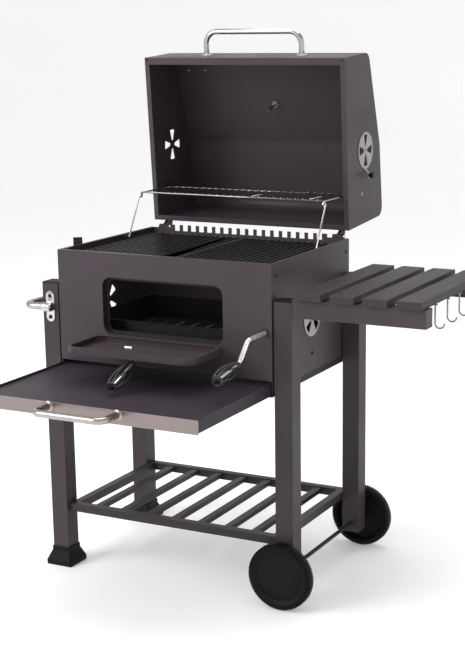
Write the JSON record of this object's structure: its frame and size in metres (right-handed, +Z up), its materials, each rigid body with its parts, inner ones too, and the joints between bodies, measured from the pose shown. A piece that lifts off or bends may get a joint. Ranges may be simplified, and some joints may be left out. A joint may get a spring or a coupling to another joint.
{
  "type": "charcoal grill cart",
  "caption": "Charcoal grill cart with an open hinged lid, a fold-down fire door, a crank-lifted charcoal pan, a pulled-out ash drawer, a slatted side table and two wheels",
  "frame": {"origin": "the middle of the part's footprint on the floor, measured with the lid open and the ash drawer out", "axes": "+X right towards the side table, +Y to the back, +Z up"},
  "size_m": [1.072, 1.0818, 1.3328],
  "materials": {
    "painted_anthracite": "satin",
    "painted_dark": "satin",
    "black_wire": "satin",
    "enamel_black": "matte",
    "stainless": "brushed",
    "bright_steel": "satin",
    "chrome_tube": "polished",
    "slat_wood": "satin",
    "black_plastic": "matte",
    "needle_paint": "gloss"
  },
  "bodies": {
    "cart": {"front_panel": "painted_anthracite", "left_panel": "painted_anthracite", "right_panel": "painted_anthracite", "rear_panel": "painted_anthracite", "door_collar": "painted_dark", "door_hinge_brackets": "painted_dark", "grate_ledges": "painted_dark", "drawer_runners": "painted_dark", "lift_guides": "painted_dark", "crank_bushes": "painted_dark", "panel_screws": "painted_dark", "left_legs": "painted_anthracite", "right_legs": "painted_anthracite", "leg_caps": "black_plastic", "feet": "black_plastic", "frame_bolts": "painted_dark", "leg_spacers": "black_plastic", "shelf_frame": "painted_anthracite", "shelf_slats": "painted_anthracite", "table_rails": "painted_anthracite", "table_slats": "slat_wood", "table_hooks": "chrome_tube", "push_handle": "chrome_tube", "handle_brackets": "bright_steel", "axle": "painted_dark", "axle_nuts": "bright_steel", "body_hinge_leaves": "painted_dark", "hinge_pins": "chrome_tube", "rack_feet": "painted_dark", "cooking_grate_left": "enamel_black", "cooking_grate_right": "enamel_black"},
    "fire_door": {"fire_door": "painted_anthracite", "door_latch": "bright_steel", "door_stem": "chrome_tube", "door_grip": "black_wire"},
    "crank": {"crank_rod": "chrome_tube", "lift_pinions": "bright_steel"},
    "grip": {"crank_grip": "black_wire"},
    "lift": {"lift_cradle": "bright_steel", "charcoal_pan": "painted_dark"},
    "drawer": {"ash_tray": "painted_dark", "drawer_front": "stainless", "drawer_handle": "chrome_tube"},
    "lid": {"lid_skin": "painted_anthracite", "lid_end_left": "painted_anthracite", "lid_end_right": "painted_anthracite", "lid_handle": "chrome_tube", "lid_hinge_leaves": "painted_dark", "thermometer": "bright_steel", "rack_lugs": "painted_dark"},
    "needle": {"thermometer_needle": "needle_paint"},
    "vent_lid_left": {"lid_vent_left": "bright_steel"},
    "vent_lid_right": {"lid_vent_right": "bright_steel"},
    "vent_body_left": {"body_vent_left": "bright_steel"},
    "vent_body_right": {"body_vent_right": "bright_steel"},
    "rack": {"warming_rack": "chrome_tube"},
    "rack_links": {"rack_legs": "chrome_tube"},
    "front_wheel": {"wheel_front": "black_plastic"},
    "rear_wheel": {"wheel_rear": "black_plastic"}
  },
  "joints": [
    {"name": "lid_hinge", "type": "hinge", "parent": "cart", "child": "lid", "pos_m": [-0.141, 0.3241, 0.8165], "axis": [1, 0, 0], "range_deg": [0, 86]},
    {"name": "rack_link_hinge", "type": "hinge", "parent": "cart", "child": "rack_links", "pos_m": [-0.141, 0.1636, 0.809], "axis": [1, 0, 0], "range_deg": [0, 86]},
    {"name": "rack_hinge", "type": "hinge", "parent": "lid", "child": "rack", "pos_m": [-0.141, 0.3801, 0.9175], "axis": [1, 0, 0], "range_deg": [-86, 0]},
    {"name": "fire_door_hinge", "type": "hinge", "parent": "cart", "child": "fire_door", "pos_m": [-0.141, -0.1369, 0.6095], "axis": [1, 0, 0], "range_deg": [-90, 0]},
    {"name": "drawer_slide", "type": "slide", "parent": "cart", "child": "drawer", "axis": [0, 1, 0], "range_m": [0, 0.338]},
    {"name": "crank_turn", "type": "hinge", "parent": "cart", "child": "crank", "pos_m": [0.133, -0.2149, 0.6567], "axis": [0, 1, 0], "range_deg": [0, 286]},
    {"name": "grip_spin", "type": "hinge", "parent": "crank", "child": "grip", "pos_m": [0.1102, -0.2149, 0.601], "axis": [0, 0.9877, 0.1564], "continuous": true},
    {"name": "pan_lift", "type": "slide", "parent": "cart", "child": "lift", "axis": [0, 0, 1], "range_m": [0, 0.06]},
    {"name": "lid_vent_left_turn", "type": "hinge", "parent": "lid", "child": "vent_lid_left", "pos_m": [-0.426, 0.4252, 1.02656], "axis": [1, 0, 0], "range_deg": [0, 45]},
    {"name": "lid_vent_right_turn", "type": "hinge", "parent": "lid", "child": "vent_lid_right", "pos_m": [0.144, 0.4252, 1.02656], "axis": [1, 0, 0], "range_deg": [0, 45]},
    {"name": "body_vent_left_turn", "type": "hinge", "parent": "cart", "child": "vent_body_left", "pos_m": [-0.431, 0.0896, 0.655], "axis": [1, 0, 0], "range_deg": [0, 45]},
    {"name": "body_vent_right_turn", "type": "hinge", "parent": "cart", "child": "vent_body_right", "pos_m": [0.149, 0.0896, 0.655], "axis": [1, 0, 0], "range_deg": [0, 45]},
    {"name": "needle_turn", "type": "hinge", "parent": "lid", "child": "needle", "pos_m": [-0.141, 0.48877, 1.13627], "axis": [0, -0.9496, -0.3133], "range_deg": [0, 270]},
    {"name": "front_wheel_spin", "type": "hinge", "parent": "cart", "child": "front_wheel", "pos_m": [0.1765, -0.1644, 0.0808], "axis": [0, 1, 0], "continuous": true},
    {"name": "rear_wheel_spin", "type": "hinge", "parent": "cart", "child": "rear_wheel", "pos_m": [0.1765, 0.3196, 0.0808], "axis": [0, 1, 0], "continuous": true}
  ],
  "couplings": [
    {"joint": "rack_link_hinge", "follows": "lid_hinge", "ratio": 1},
    {"joint": "rack_hinge", "follows": "lid_hinge", "ratio": -1},
    {"joint": "pan_lift", "follows": "crank_turn", "m_per_rad": 0.012}
  ]
}
